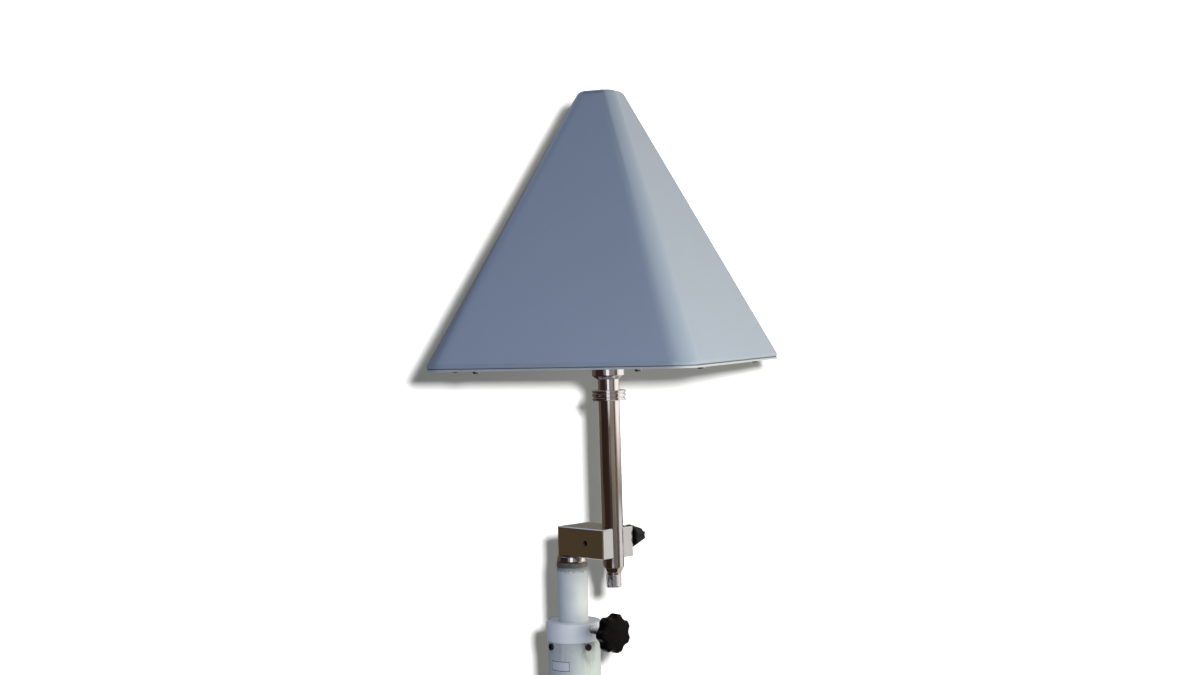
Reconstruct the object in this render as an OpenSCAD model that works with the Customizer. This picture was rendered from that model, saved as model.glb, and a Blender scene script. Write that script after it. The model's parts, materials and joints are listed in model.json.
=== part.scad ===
/* [Radome] */
// Side of the square foot of the radome
radome_side = 289; // [250:1:330]
// Height of the radome above the joint
radome_height = 280.5; // [255:0.5:310]
// Side of the blunt tip, across its flats
tip_side = 41; // [34:1:56]
// Radius of the upright edges at the foot
edge_radius = 24; // [10:1:28]
// Radius of the upright edges at the tip
tip_corner_radius = 15; // [12:1:16]
// Rounding between the tip and the sloping faces
tip_round = 9; // [5:1:10]
// Height of the upright lip at the foot, and of the flange inside it
lip_height = 8.5; // [5:0.5:12]
// Wall of the moulding
radome_wall = 3; // [2:0.5:4]
// Width of the flange inside the foot, from the outside
rim_width = 24; // [21:1:30]

/* [Base plate] */
// Thickness of the seal between radome and plate
gasket_t = 0.7; // [0.4:0.1:1.5]
// Thickness of the plate
plate_t = 2; // [1.6:0.2:5]
// How far the seal lies back from the edge
gasket_inset = 0.8; // [0.4:0.1:1.5]
// Distance of the plate's screws from the edge
screw_inset = 12; // [10:0.5:14]
// Place of the plate's screws along each side, from its middle
screw_reach = 86; // [50:1:110]
// Shank diameter of the plate's screws
plate_screw_d = 4; // [3:0.5:5]
// Head diameter of the plate's screws
plate_head_d = 7.4; // [6.4:0.2:9]
// Head height of the plate's screws
plate_head_h = 2.6; // [1.6:0.2:3.6]
// Outside diameter of the threaded inserts
insert_d = 8; // [7:0.5:10]

/* [Radiating cones] */
// Radius of each cone's open end
cone_r = 50; // [40:1:52]
// Radius at the feed point
cone_apex_r = 5; // [4:0.5:7]
// Clearance between the upper cone's flange and the radome
cone_clear = 4; // [2:0.5:8]
// Thickness of the spun sheet
cone_wall = 1.5; // [1:0.25:2.5]
// Width of the flange on each cone
cone_flange = 9; // [8:0.5:10]
// Gap between the two apexes
feed_gap = 4; // [3:0.5:6]
// Diameter of the posts between the cones
post_d = 6; // [4:0.5:7]
// Shank diameter of the screws in the lower cone's flange
cone_screw_d = 3; // [2.5:0.5:4]

/* [Feed line] */
// Outside diameter of the rigid line
line_d = 6.4; // [5:0.2:8]
// Wall of its copper jacket
line_wall = 0.45; // [0.3:0.05:0.6]
// Diameter of its wire
wire_d = 1.7; // [1:0.1:2.2]
// Height of each line spacer
spacer_h = 8; // [4:1:12]
// Number of line spacers in the tube
spacer_count = 3; // [1:1:5]

/* [Antenna tube] */
// Outside diameter of the tube
tube_d = 22; // [20:0.5:24]
// Wall of the tube
tube_wall = 2; // [1:0.25:3]
// Drop of the tube's end, where the jack begins, below the joint
tube_drop = 217.5; // [200:0.5:260]
// Chamfer at the tube's end
tube_chamfer = 0.4; // [0.2:0.1:1]
// Diameter of the flange under the plate
flange_d = 34; // [32:0.5:40]
// Height of the flange's straight part
flange_h = 7.5; // [7:0.5:14]
// Height of the cone under the flange
flange_cone_h = 3.2; // [2:0.2:5]
// Depth of the tube's seat in the flange
seat_depth = 6; // [4:0.5:8]
// Shank diameter of the screws that hold the flange
flange_screw_d = 3; // [2.5:0.5:3]
// Diameter of the stop ring
ring_d = 35; // [30:0.5:40]
// Height of the stop ring
ring_h = 10.6; // [9:0.2:14]
// Drop of the stop ring's top below the joint
ring_drop = 28.5; // [24:0.5:60]
// Width of each groove round the stop ring
ring_groove = 1.6; // [1:0.1:2.2]
// Depth of each groove
ring_groove_depth = 1.4; // [0.6:0.1:2]
// Shank diameter of the stop ring's set screw
ring_screw_d = 3; // [2:0.5:3.5]

/* [Coaxial jack] */
// Diameter over the jack's thread
jack_d = 15.88; // [14:0.02:17]
// Length of the threaded end
jack_h = 15.6; // [12:0.2:20]
// Bore of the mouth
jack_bore = 8.1; // [7.5:0.1:9]
// Depth of the mouth
jack_depth = 9.6; // [8:0.2:10]
// Diameter of the contact
contact_d = 3; // [2.2:0.1:3.6]
// Distance of the contact's tip behind the face
contact_back = 5; // [4.7:0.1:6]
// Diameter of the jack's shank in the plug
jack_shank_d = 12; // [11:0.5:13]
// Diameter of the insulator
insulator_d = 7; // [6:0.2:7.4]
// Height of the plug, with its tapered nose
plug_h = 14; // [11:1:20]
// Height of the tapered nose under the tube
nose_h = 5; // [3:0.5:7]
// Diameter of the nose at the jack
nose_d = 16.5; // [16:0.25:19]

/* [Clamp block] */
// Length of the block
block_len = 68.5; // [64:0.5:76]
// Width of the block
block_w = 44; // [40:0.5:52]
// Height of the block
block_h = 31; // [26:0.5:38]
// Chamfer on the block's edges
block_chamfer = 0.8; // [0.4:0.1:1.5]
// Distance from the tube's axis to the end face
mouth_depth = 8; // [6:0.25:9.5]
// Distance from the mast's axis to the back face
block_back = 4.5; // [4:0.25:8]
// Offset of the mast's axis from the block's middle
mast_offset = 6.5; // [0:0.25:9]
// How far the tube comes out below the block
tube_below = 15; // [12:0.5:30]
// Place of the side screw, from the tube's axis
side_screw_x = 18.7; // [17:0.1:24]
// Diameter of the side screw
side_screw_d = 6; // [4:0.5:8]
// Length of the side screw
side_screw_len = 8; // [5:0.5:10]
// Turn of the arm about the mast
arm_angle = -23; // [-60:0.5:60]

/* [Knobs] */
// Diameter of both knobs' studs
stud_d = 8; // [6:0.5:8]
// Length of each pressure shoe
shoe_len = 4; // [3:0.25:5]
// Diameter of the clamp knob's wide end
knob_d = 28; // [25:0.5:34]
// Diameter of the clamp knob's narrow end
knob_tip_d = 13; // [11:0.5:16]
// Length of the clamp knob
knob_len = 21; // [18:0.5:30]
// Number of flutes on the clamp knob
knob_flutes = 6; // [5:1:8]
// Diameter of the star knob
star_d = 41; // [36:0.5:46]
// Thickness of the star knob's head
star_t = 14; // [10:0.5:18]
// Number of lobes on the star knob
star_lobes = 7; // [5:1:8]
// Radius of the hollows between the lobes
star_hollow_r = 7; // [5:0.5:9]
// Depth of the hollows between the lobes
star_hollow_depth = 3.5; // [1.5:0.25:4]
// Diameter of the star knob's hub
hub_d = 20; // [17:0.5:24]
// Height of the star knob's hub
hub_h = 6; // [4:0.5:10]
// Gap between the collar and the star knob's hub
hub_gap = 20; // [8:0.5:26]
// Direction of the star knob round the mast
star_angle = -24.5; // [-80:0.5:80]

/* [Mast top] */
// Diameter of the upper tube
upper_d = 32; // [30:0.5:34]
// Wall of the upper tube
upper_wall = 3; // [2:0.5:3.5]
// Length of the upper tube that shows above the collar
upper_out = 57; // [45:1:90]
// Length of the upper tube below the top of the collar
upper_in = 98; // [92:1:100]
// Diameter of the turned disc under the block
disc_d = 32; // [28:0.5:36]
// Thickness of the disc
disc_h = 8; // [6:0.5:12]
// Diameter of the pin under the disc
pin_d = 20; // [18:0.5:20]
// Length of the pin under the disc
pin_len = 30; // [24:1:40]
// Shank diameter of the bolt in the pin
bolt_d = 5; // [4:0.5:6]
// Depth of the bolt's thread in the block
bolt_grip = 15; // [8:1:20]
// Diameter of the rim on the upper tube's bush
bush_rim_d = 32.6; // [32.2:0.2:36]
// Height of that rim
bush_rim_h = 5; // [3:0.5:8]
// Diameter of the collar
collar_d = 58; // [56:0.5:64]
// Height of the collar
collar_h = 20; // [16:0.5:26]
// Chamfer round the collar's top
collar_chamfer = 1.6; // [0.5:0.1:2.5]
// Depth of the collar's sleeve in the lower tube
sleeve_h = 22; // [16:1:28]
// Drop of the collar's screws below the collar
collar_screw_drop = 5; // [5:0.5:10]
// Shank diameter of the collar's screws
collar_screw_d = 4; // [3:0.5:5]
// Head diameter of the collar's screws
collar_head_d = 7; // [6:0.5:9]
// Turn of the collar's screws round the mast
collar_screw_angle = -35; // [-80:0.5:0]
// Diameter of the lower tube
lower_d = 55; // [54.5:0.5:60]
// Wall of the lower tube
lower_wall = 3; // [2.5:0.25:3]
// Length of the lower tube
lower_len = 140; // [138:1:200]
// Diameter of the socket at the lower tube's foot
socket_d = 50; // [49.5:0.25:51]
// Depth of the socket
socket_depth = 35; // [20:1:36]
// Height of the glide ring on the upper tube
glide_h = 12; // [8:1:14]

/* [Clearances] */
// Radial clearance of turning and sliding fits
run_fit = 0.05; // [0.02:0.01:0.09]
// Gap between faces that pass or press each other
face_gap = 0.3; // [0.2:0.05:0.5]

/* [Hidden] */
$fn = 96;

// Heights in the frame of the whole part, from the foot of the lower tube
collar_top = lower_len + collar_h;
upper_bottom = collar_top - upper_in;
upper_top = collar_top + upper_out;
bush_top = upper_top + bush_rim_h;
block_bottom = bush_top + disc_h;
block_mid = block_bottom + block_h / 2;
clamp_z = block_bottom + 0.63 * block_h;
joint_z = block_bottom - tube_below + tube_drop;
star_z = lower_len + 0.63 * collar_h;

// Place of the antenna tube's axis, first along the arm, then in the whole part
arm_reach = block_len - block_back - mouth_depth;
tube_x = arm_reach * cos(arm_angle) - mast_offset * sin(arm_angle);
tube_y = arm_reach * sin(arm_angle) + mast_offset * cos(arm_angle);

// Overrun of a cutting tool, and the least length of a joint hidden in another piece
cut = 1;

// Radome
slope = (radome_side - tip_side) / 2 / (radome_height - lip_height);
wall_x = radome_wall * sqrt(1 + slope * slope);
inner_side = radome_side - 2 * wall_x - 4 * cut * slope;
inner_tip = tip_side + 2 * slope * radome_wall - 2 * wall_x;
inner_top = radome_height - radome_wall;
screw_line = radome_side / 2 - screw_inset;
corner_steps = 12;

// Head, measured from the joint
plate_top = -gasket_t;
plate_bottom = plate_top - plate_t;
flange_bottom = plate_bottom - flange_h;
seat_z = flange_bottom - flange_cone_h + seat_depth;
upper_cone_top = lip_height
    + (radome_side / 2 - wall_x - cone_r - cone_flange - cone_clear) / slope;
cone_h = (upper_cone_top - plate_top - feed_gap) / 2;
apex_z = plate_top + cone_h;
feed_z = apex_z + feed_gap;
post_r = cone_r + cone_flange / 2;
core_d = line_d - 2 * line_wall;
tube_bore = tube_d - 2 * tube_wall;
end_z = -tube_drop;
tube_end = end_z + nose_h;
plug_top = end_z + plug_h;
face_z = end_z - jack_h;
mouth_z = face_z + jack_depth;

// Mast
tube_r = tube_d / 2;
side_face = block_w / 2;
lower_bore = lower_d - 2 * lower_wall;
upper_bore = upper_d - 2 * upper_wall;
upper_r = upper_d / 2;
stud_r = stud_d / 2 - run_fit;
star_face = collar_d / 2 + hub_gap;
bolt_head_d = 1.7 * bolt_d;
head_sink = 0.6;

module rounded_square(side, r) {
    union() {
        square([side, side - 2 * r], center = true);
        square([side - 2 * r, side], center = true);
        for (x = [-1, 1], y = [-1, 1])
            translate([x * (side / 2 - r), y * (side / 2 - r)]) circle(r);
    }
}

// Outline of a rounded square at height z, as points counter-clockwise from the +X side
function square_ring(side, r, z) = [for (q = [0 : 3], i = [0 : corner_steps])
    let (a = 90 * q + 90 * i / corner_steps, c = side / 2 - r)
        [c * sign(cos(90 * q + 45)) + r * cos(a), c * sign(sin(90 * q + 45)) + r * sin(a), z]];

// Solid through a stack of outlines with the same number of points, lowest first
module loft(rings) {
    n = len(rings[0]);
    last = (len(rings) - 1) * n;
    polyhedron(points = [for (ring = rings) each ring], faces = [
        [for (i = [0 : n - 1]) i],
        [for (i = [n - 1 : -1 : 0]) last + i],
        for (k = [0 : n : last - n], i = [0 : n - 1])
            [k + i, k + n + i, k + n + (i + 1) % n, k + (i + 1) % n]]);
}

// Rounded pyramid: an upright lip, sloping faces and a tip rounded over an arc
module rounded_pyramid(foot, tip, z0, lip, top, foot_r, tip_r, round_r) {
    loft([square_ring(foot, foot_r, z0), square_ring(foot, foot_r, lip),
        for (a = [25 : 13 : 90])
            square_ring(tip - 2 * round_r * (1 - cos(a)), tip_r - round_r * (1 - cos(a)),
                top - round_r * (1 - sin(a)))]);
}

// Places of the screws round the foot, two on each side
module at_rim_screws() {
    for (a = [0 : 90 : 270], s = [-1, 1])
        rotate(a) translate([screw_line, s * screw_reach, 0]) children();
}

module head() {
    translate([tube_x, tube_y, joint_z]) children();
}

module arm(z) {
    translate([0, 0, z]) rotate(arm_angle) children();
}

// Round bar between two distances along +X
module bar(x0, x1, d) {
    translate([x0, 0, 0]) rotate([0, 90, 0]) cylinder(d = d, h = x1 - x0);
}

module hex_socket(af, depth) {
    translate([0, 0, -depth]) cylinder(d = af / cos(30), h = depth + cut, $fn = 6);
}

module radome() {
    color("#b9c0cb") head() difference() {
        rounded_pyramid(radome_side, tip_side, 0, lip_height, radome_height,
            edge_radius, tip_corner_radius, tip_round);
        rounded_pyramid(inner_side, inner_tip, lip_height, lip_height + 2 * cut, inner_top,
            edge_radius - radome_wall, tip_corner_radius - radome_wall, tip_round - radome_wall / 2);
        translate([0, 0, -cut]) linear_extrude(lip_height + 2 * cut)
            rounded_square(radome_side - 2 * rim_width, edge_radius / 2);
        at_rim_screws() translate([0, 0, -cut]) cylinder(d = insert_d, h = lip_height + 2 * cut);
    }
}

module radome_gasket() {
    color("#3a3c40") head() translate([0, 0, -gasket_t]) linear_extrude(gasket_t) difference() {
        rounded_square(radome_side - 2 * gasket_inset, edge_radius - gasket_inset);
        rounded_square(radome_side - 2 * rim_width, edge_radius / 2);
        at_rim_screws() circle(d = insert_d);
    }
}

module base_plate() {
    color("#d5d8dc") head() translate([0, 0, plate_bottom]) linear_extrude(plate_t) difference() {
        rounded_square(radome_side, edge_radius);
        circle(d = line_d);
        at_rim_screws() circle(d = plate_screw_d);
        for (a = [45 : 90 : 315]) rotate(a) translate([flange_d / 2 - 5, 0]) circle(d = flange_screw_d);
        for (a = [0 : 60 : 300]) rotate(a) translate([post_r, 0]) circle(d = cone_screw_d);
    }
}

module plate_screws() {
    color("#cfd2d6") head() at_rim_screws() translate([0, 0, plate_bottom]) difference() {
        union() {
            translate([0, 0, -plate_head_h / 2])
                cylinder(d = plate_screw_d, h = plate_head_h / 2 + plate_t + gasket_t + lip_height - cut);
            translate([0, 0, -plate_head_h]) rotate_extrude() polygon([[0, 0],
                [plate_head_d / 2 - plate_head_h / 2, 0],
                for (a = [-90 : 15 : 0]) [plate_head_d / 2 - plate_head_h / 2 * (1 - cos(a)),
                    plate_head_h * (1 + sin(a)) / 1.6],
                [plate_head_d / 2, plate_head_h], [0, plate_head_h]]);
        }
        translate([0, 0, -plate_head_h]) mirror([0, 0, 1]) hex_socket(plate_screw_d / 1.6, plate_head_h / 2);
    }
}

module rim_inserts() {
    color("#b8924a") head() at_rim_screws() difference() {
        cylinder(d = insert_d, h = lip_height);
        translate([0, 0, -cut]) cylinder(d = plate_screw_d, h = lip_height + 2 * cut);
    }
}

// Spun cone that stands on its open end, with a flange round that end
module spun_cone() {
    rotate_extrude() polygon([[cone_r - cone_wall, 0], [cone_r + cone_flange, 0],
        [cone_r + cone_flange, cone_wall], [cone_r, cone_wall],
        [cone_apex_r, cone_h], [line_d / 2, cone_h], [line_d / 2, cone_h - 2 * cone_wall]]);
}

module lower_cone() {
    color("#c4c6c8") head() translate([0, 0, plate_top]) difference() {
        spun_cone();
        for (a = [0 : 60 : 300]) rotate(a) translate([post_r, 0, -cut])
            cylinder(d = cone_screw_d, h = cone_wall + 2 * cut);
    }
}

module upper_cone() {
    color("#c4c6c8") head() translate([0, 0, feed_z + cone_h]) mirror([0, 0, 1]) spun_cone();
}

module feed_spacer() {
    color("#f2f2ee") head() translate([0, 0, apex_z]) difference() {
        cylinder(r = cone_apex_r, h = feed_gap);
        translate([0, 0, -cut]) cylinder(d = wire_d, h = feed_gap + 2 * cut);
    }
}

module cone_posts() {
    color("#e9e6da") head() for (a = [30 : 120 : 270]) rotate(a)
        translate([post_r, 0, plate_top + cone_wall])
            cylinder(d = post_d, h = 2 * cone_h + feed_gap - 2 * cone_wall);
}

module cone_screws() {
    color("#cfd2d6") head() for (a = [0 : 60 : 300]) rotate(a) translate([post_r, 0, 0]) union() {
        translate([0, 0, plate_bottom + 1])
            cylinder(d = cone_screw_d, h = plate_t + cone_wall - 1 + 0.3 * cone_screw_d);
        translate([0, 0, plate_top + cone_wall]) cylinder(d = 1.8 * cone_screw_d, h = 0.6 * cone_screw_d);
    }
}

module feed_line() {
    color("#b5764a") head() translate([0, 0, plug_top]) difference() {
        cylinder(d = line_d, h = apex_z - plug_top);
        translate([0, 0, -cut]) cylinder(d = core_d, h = apex_z - plug_top + 2 * cut);
    }
}

module feed_core() {
    color("#f4f4f0") head() translate([0, 0, plug_top]) difference() {
        cylinder(d = core_d, h = apex_z - plug_top);
        translate([0, 0, -cut]) cylinder(d = wire_d, h = apex_z - plug_top + 2 * cut);
    }
}

module feed_wire() {
    color("#c9cdd2") head() rotate_extrude() polygon([[0, plug_top], [wire_d / 2, plug_top],
        [wire_d / 2, feed_z], [line_d / 2, feed_z], [line_d / 2, feed_z + 2 * cone_wall],
        [0, feed_z + 2 * cone_wall]]);
}

module line_spacers() {
    color("#f4f4f0") head() for (i = [1 : spacer_count])
        translate([0, 0, plug_top + (seat_z - plug_top) * i / (spacer_count + 1) - spacer_h / 2]) difference() {
            cylinder(d = tube_bore, h = spacer_h);
            translate([0, 0, -cut]) cylinder(d = line_d, h = spacer_h + 2 * cut);
        }
}

module tube_flange() {
    color("#c9ccd1") head() difference() {
        rotate_extrude() polygon([[line_d / 2, plate_bottom], [flange_d / 2, plate_bottom],
            [flange_d / 2, flange_bottom + 0.6], [flange_d / 2 - 0.6, flange_bottom],
            [tube_d / 2 + 0.8, flange_bottom - flange_cone_h], [tube_d / 2, flange_bottom - flange_cone_h],
            [tube_d / 2, seat_z], [line_d / 2, seat_z]]);
        for (a = [45 : 90 : 315]) rotate(a) translate([flange_d / 2 - 5, 0, seat_z + 0.4])
            cylinder(d = flange_screw_d, h = plate_bottom - seat_z + cut);
    }
}

module flange_screws() {
    color("#cfd2d6") head() for (a = [45 : 90 : 315]) rotate(a) translate([flange_d / 2 - 5, 0, 0]) union() {
        translate([0, 0, seat_z + 0.6]) cylinder(d = flange_screw_d,
            h = plate_top - seat_z - 0.6 + 0.3 * flange_screw_d);
        translate([0, 0, plate_top]) cylinder(d = 1.8 * flange_screw_d, h = 0.6 * flange_screw_d);
    }
}

module antenna_tube() {
    color("#bfc2c6") head() rotate_extrude() polygon([[tube_bore / 2, tube_end],
        [tube_r - tube_chamfer, tube_end], [tube_r, tube_end + tube_chamfer], [tube_r, seat_z],
        [tube_bore / 2, seat_z]]);
}

module stop_ring() {
    color("#c9ccd1") head() difference() {
        translate([0, 0, -ring_drop - ring_h]) rotate_extrude() polygon([[tube_r, 0],
            [ring_d / 2 - 0.5, 0], [ring_d / 2, 0.5],
            for (z = [ring_h * 0.3, ring_h * 0.7])
                each [[ring_d / 2, z - ring_groove / 2],
                    [ring_d / 2 - ring_groove_depth, z - ring_groove / 4],
                    [ring_d / 2 - ring_groove_depth, z + ring_groove / 4],
                    [ring_d / 2, z + ring_groove / 2]],
            [ring_d / 2, ring_h - 0.5], [ring_d / 2 - 0.5, ring_h], [tube_r, ring_h]]);
        at_ring_screw() bar(tube_r - cut, ring_d / 2 + cut, ring_screw_d);
    }
}

module at_ring_screw() {
    translate([0, 0, -ring_drop - ring_h / 2]) rotate(-99.5) children();
}

module stop_ring_screw() {
    color("#e4e6e8") head() at_ring_screw() difference() {
        bar(tube_r, ring_d / 2 - 0.4, ring_screw_d);
        translate([ring_d / 2 - 0.4, 0, 0]) rotate([0, 90, 0]) hex_socket(ring_screw_d / 2, 1.2);
    }
}

module end_plug() {
    color("#c9ccd1") head() rotate_extrude() polygon([[jack_shank_d / 2, end_z], [nose_d / 2, end_z],
        [tube_r - tube_chamfer, tube_end], [tube_bore / 2, tube_end], [tube_bore / 2, plug_top],
        [jack_shank_d / 2, plug_top]]);
}

module jack_body() {
    color("#c9ccd1") head() rotate_extrude() polygon([[jack_bore / 2 + 0.4, face_z],
        [jack_d / 2 - 0.9, face_z], [jack_d / 2, face_z + 0.9], [jack_d / 2, end_z],
        [jack_shank_d / 2, end_z], [jack_shank_d / 2, plug_top], [insulator_d / 2, plug_top],
        [insulator_d / 2, mouth_z], [jack_bore / 2, mouth_z], [jack_bore / 2, face_z + 0.4]]);
}

module jack_insulator() {
    color("#f4f4f0") head() translate([0, 0, mouth_z]) difference() {
        cylinder(d = insulator_d, h = plug_top - mouth_z);
        translate([0, 0, -cut]) cylinder(d = contact_d, h = plug_top - mouth_z + 2 * cut);
    }
}

module jack_contact() {
    color("#c8a850") head() translate([0, 0, face_z + contact_back]) difference() {
        cylinder(d = contact_d, h = plug_top - face_z - contact_back);
        translate([0, 0, -cut]) cylinder(d = contact_d / 2, h = jack_depth - contact_back + cut);
    }
}

// Rectangle with its corners cut off, from (x0, y0) to (x1, y1)
function cut_rectangle(x0, y0, x1, y1, c) = [[x0 + c, y0], [x1 - c, y0], [x1, y0 + c], [x1, y1 - c],
    [x1 - c, y1], [x0 + c, y1], [x0, y1 - c], [x0, y0 + c]];

// Block along the arm with all its edges chamfered, its bottom at z = 0
module chamfered_block() {
    x0 = -block_back;
    x1 = block_len - block_back;
    y0 = mast_offset - side_face;
    y1 = mast_offset + side_face;
    intersection() {
        linear_extrude(block_h) polygon(cut_rectangle(x0, y0, x1, y1, block_chamfer));
        translate([0, y1, 0]) rotate([90, 0, 0]) linear_extrude(block_w)
            polygon(cut_rectangle(x0, 0, x1, block_h, block_chamfer));
        translate([x0, 0, 0]) rotate([90, 0, 90]) linear_extrude(block_len)
            polygon(cut_rectangle(y0, 0, y1, block_h, block_chamfer));
    }
}

module clamp_block() {
    color("#d9d9d6") arm(block_bottom) difference() {
        chamfered_block();
        translate([arm_reach, mast_offset, -cut]) cylinder(r = tube_r + run_fit, h = block_h + 2 * cut);
        translate([arm_reach, mast_offset, clamp_z - block_bottom]) rotate(90) bar(0, side_face + cut, stud_d);
        translate([arm_reach - side_screw_x, mast_offset - side_face, block_h / 2]) rotate(90)
            bar(-cut, side_screw_len + cut, side_screw_d);
        translate([0, 0, -cut]) cylinder(d = bolt_d, h = bolt_grip + 2 * cut);
    }
}

module side_screw() {
    color("#4a3f33") arm(block_mid) translate([arm_reach - side_screw_x, mast_offset - side_face, 0])
        rotate(90) difference() {
            bar(cut, side_screw_len + cut, side_screw_d);
            translate([cut, 0, 0]) rotate([0, -90, 0]) hex_socket(side_screw_d / 2, side_screw_len / 2);
        }
}

// Frame of the clamp knob: +X runs outwards from the antenna tube's axis
module clamp_axis() {
    arm(clamp_z) translate([arm_reach, mast_offset, 0]) rotate(90) children();
}

module clamp_shoe() {
    color("#b8924a") clamp_axis() bar(tube_r + face_gap, tube_r + face_gap + shoe_len, 2 * stud_r);
}

module clamp_stud() {
    color("#9a9da1") clamp_axis() bar(tube_r + face_gap + shoe_len, side_face + knob_len / 2, 2 * stud_r);
}

module clamp_knob() {
    r1 = knob_d / 2;
    r2 = knob_tip_d / 2;
    lean = atan((r1 - r2) / (knob_len - 3));
    color("#141416") clamp_axis() translate([side_face + face_gap, 0, 0]) rotate([0, 90, 0]) difference() {
        rotate_extrude() polygon([[0, 0], [r1 - 1, 0], [r1, 1], [r1, 3],
            for (a = [0 : 22.5 : 90]) [r2 - 2 * (1 - cos(a)), knob_len - 2 * (1 - sin(a))], [0, knob_len]]);
        translate([0, 0, -cut]) cylinder(r = stud_r, h = knob_len / 2 - face_gap + cut);
        for (i = [0 : knob_flutes - 1]) rotate(i * 360 / knob_flutes)
            translate([r1 + 2.4, 0, 3]) rotate([0, -lean, 0]) translate([0, 0, -8])
                cylinder(r = 4.4, h = knob_len + 16);
    }
}

module mast_spigot() {
    color("#c9ccd1") arm(0) difference() {
        rotate_extrude() polygon([[0, bush_top - pin_len], [pin_d / 2 - 1, bush_top - pin_len],
            [pin_d / 2, bush_top - pin_len + 1], [pin_d / 2, bush_top], [disc_d / 2 - 0.6, bush_top],
            [disc_d / 2, bush_top + 0.6], [disc_d / 2, block_bottom - 1.2],
            [disc_d / 2 - 1.2, block_bottom], [0, block_bottom]]);
        translate([0, 0, bush_top - pin_len - cut]) cylinder(d = bolt_d, h = pin_len + disc_h + 2 * cut);
        translate([0, 0, bush_top - pin_len - cut]) cylinder(d = bolt_head_d, h = bolt_d + 2 * cut);
    }
}

module spigot_bolt() {
    color("#5a5c60") arm(0) translate([0, 0, bush_top - pin_len + cut]) difference() {
        union() {
            cylinder(d = bolt_head_d, h = bolt_d);
            cylinder(d = bolt_d, h = pin_len + disc_h + bolt_grip - cut);
        }
        mirror([0, 0, 1]) hex_socket(0.8 * bolt_d, bolt_d / 2);
    }
}

module upper_tube() {
    color("#e6e8e8") rotate_extrude() polygon([[upper_bore / 2, upper_bottom], [upper_r, upper_bottom],
        [upper_r, upper_top - 1], [upper_r - 0.6, upper_top], [upper_bore / 2, upper_top]]);
}

module tube_bush() {
    color("#9ea2a4") rotate_extrude() polygon([[pin_d / 2 + run_fit, bush_top - pin_len],
        [upper_bore / 2, bush_top - pin_len], [upper_bore / 2, upper_top], [bush_rim_d / 2 - 0.4, upper_top],
        [bush_rim_d / 2, upper_top + 0.4], [bush_rim_d / 2, bush_top - 0.8],
        [bush_rim_d / 2 - 0.8, bush_top], [pin_d / 2 + run_fit, bush_top]]);
}

module glide_ring() {
    color("#f2f2ee") translate([0, 0, upper_bottom]) difference() {
        cylinder(d = lower_bore - 2 * run_fit, h = glide_h);
        translate([0, 0, -cut]) cylinder(d = upper_d, h = glide_h + 2 * cut);
    }
}

module at_collar_screws() {
    for (a = [0 : 90 : 270])
        translate([0, 0, lower_len - collar_screw_drop]) rotate(collar_screw_angle + a) children();
}

module mast_collar() {
    color("#eceeee") difference() {
        rotate_extrude() polygon([[upper_r + run_fit, lower_len - sleeve_h],
            [lower_bore / 2, lower_len - sleeve_h], [lower_bore / 2, lower_len], [collar_d / 2 - 0.6, lower_len],
            [collar_d / 2, lower_len + 0.6], [collar_d / 2, collar_top - collar_chamfer],
            [collar_d / 2 - collar_chamfer, collar_top], [upper_r + run_fit, collar_top]]);
        translate([0, 0, star_z]) rotate(star_angle) bar(0, collar_d, stud_d);
        at_collar_screws() bar(lower_bore / 2 - 5, lower_bore / 2 + cut, collar_screw_d);
    }
}

module collar_screws() {
    color("#2c2a2a") at_collar_screws() difference() {
        union() {
            bar(lower_bore / 2 - 5, lower_d / 2, collar_screw_d);
            bar(lower_d / 2 - head_sink, lower_d / 2 + 2, collar_head_d);
        }
        translate([lower_d / 2 + 2, 0, 0]) rotate([0, 90, 0]) hex_socket(0.4 * collar_head_d, 1.4);
    }
}

// Frame of the star knob: +X runs outwards from the mast's axis
module star_axis() {
    translate([0, 0, star_z]) rotate(star_angle) children();
}

module star_shoe() {
    color("#b8924a") star_axis() bar(upper_r + face_gap, upper_r + face_gap + shoe_len, 2 * stud_r);
}

module star_stud() {
    color("#9a9da1") star_axis() bar(upper_r + face_gap + shoe_len, star_face + hub_h + star_t / 2, 2 * stud_r);
}

module star_knob() {
    r = star_d / 2;
    color("#101012") star_axis() translate([star_face, 0, 0]) rotate([0, 90, 0]) difference() {
        rotate_extrude() polygon([[0, 0], [hub_d / 2 - 1, 0], [hub_d / 2, 1], [hub_d / 2, hub_h],
            for (a = [0 : 22.5 : 90]) [r - 2.5 * (1 - sin(a)), hub_h + 2.5 * (1 - cos(a))],
            for (a = [0 : 15 : 75]) [r - 4 * (1 - cos(a)), hub_h + star_t - 1 - 4 * (1 - sin(a))],
            [r / 2, hub_h + star_t - 0.35], [r / 4, hub_h + star_t - 0.1], [0, hub_h + star_t]]);
        translate([0, 0, -cut]) cylinder(r = stud_r, h = hub_h + star_t / 2 + cut);
        for (i = [0 : star_lobes - 1]) rotate(i * 360 / star_lobes)
            translate([r + star_hollow_r - star_hollow_depth, 0, hub_h - cut])
                cylinder(r = star_hollow_r, h = star_t + 2 * cut);
    }
}

module lower_tube() {
    color("#e2e4e4") difference() {
        rotate_extrude() polygon([[socket_d / 2, 0], [lower_d / 2 - 0.5, 0], [lower_d / 2, 0.5],
            [lower_d / 2, lower_len], [lower_bore / 2, lower_len], [lower_bore / 2, socket_depth],
            [socket_d / 2, socket_depth]]);
        at_collar_screws() union() {
            bar(lower_bore / 2 - cut, lower_d / 2 + cut, collar_screw_d);
            bar(lower_d / 2 - head_sink, lower_d / 2 + 2 * cut, collar_head_d);
        }
    }
}

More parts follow.
